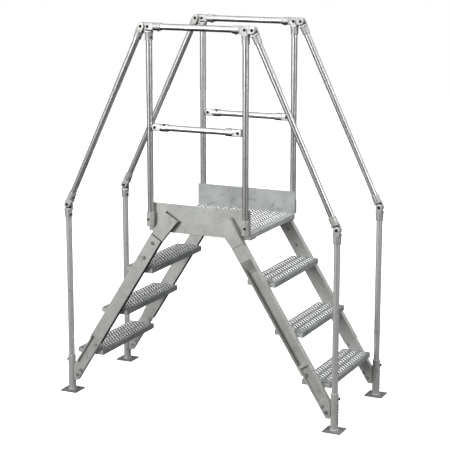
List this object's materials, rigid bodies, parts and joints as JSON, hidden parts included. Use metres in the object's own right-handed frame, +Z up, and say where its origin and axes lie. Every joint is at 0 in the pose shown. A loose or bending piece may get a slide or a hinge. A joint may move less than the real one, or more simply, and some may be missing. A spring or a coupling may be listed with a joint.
{
  "type": "crossover platform",
  "caption": "Free-standing galvanised steel crossover: a flight of serrated treads up each end, a short deck with toe boards between, and tube handrails on both sides.",
  "frame": {"origin": "centre of the footprint on the floor, under the middle of the deck", "axes": "+X along the crossing, towards the right flight; +Y towards the back handrail; +Z up"},
  "size_m": [1.6978, 0.7488, 2.1001],
  "materials": {
    "plate": "hot-dip galvanised, matt and mottled",
    "tread_plank": "hot-dip galvanised, bluish grey, worn brighter on the teeth",
    "tube": "hot-dip galvanised tube",
    "fitting": "galvanised malleable iron",
    "foot": "hot-dip galvanised, darker on the base plates"
  },
  "bodies": {
    "root": {"deck": "tread_plank", "side_plate_front": "plate", "side_plate_back": "plate", "tread_left_1": "tread_plank", "tread_left_2": "tread_plank", "tread_left_3": "tread_plank", "tread_right_1": "tread_plank", "tread_right_2": "tread_plank", "tread_right_3": "tread_plank", "upper_stub_front_left": "plate", "stringer_front_left": "plate", "foot_front_left": "foot", "platform_post_front_left": "tube", "lower_post_front_left": "tube", "slope_rail_front_left": "tube", "top_fitting_front_left": "fitting", "elbow_front_left": "fitting", "upper_stub_front_right": "plate", "stringer_front_right": "plate", "foot_front_right": "foot", "platform_post_front_right": "tube", "lower_post_front_right": "tube", "slope_rail_front_right": "tube", "top_fitting_front_right": "fitting", "elbow_front_right": "fitting", "upper_stub_back_left": "plate", "stringer_back_left": "plate", "foot_back_left": "foot", "platform_post_back_left": "tube", "lower_post_back_left": "tube", "slope_rail_back_left": "tube", "top_fitting_back_left": "fitting", "elbow_back_left": "fitting", "upper_stub_back_right": "plate", "stringer_back_right": "plate", "foot_back_right": "foot", "platform_post_back_right": "tube", "lower_post_back_right": "tube", "slope_rail_back_right": "tube", "top_fitting_back_right": "fitting", "elbow_back_right": "fitting", "top_rail_front": "tube", "mid_rail_front": "tube", "top_rail_back": "tube", "mid_rail_back": "tube"}
  },
  "joints": []
}
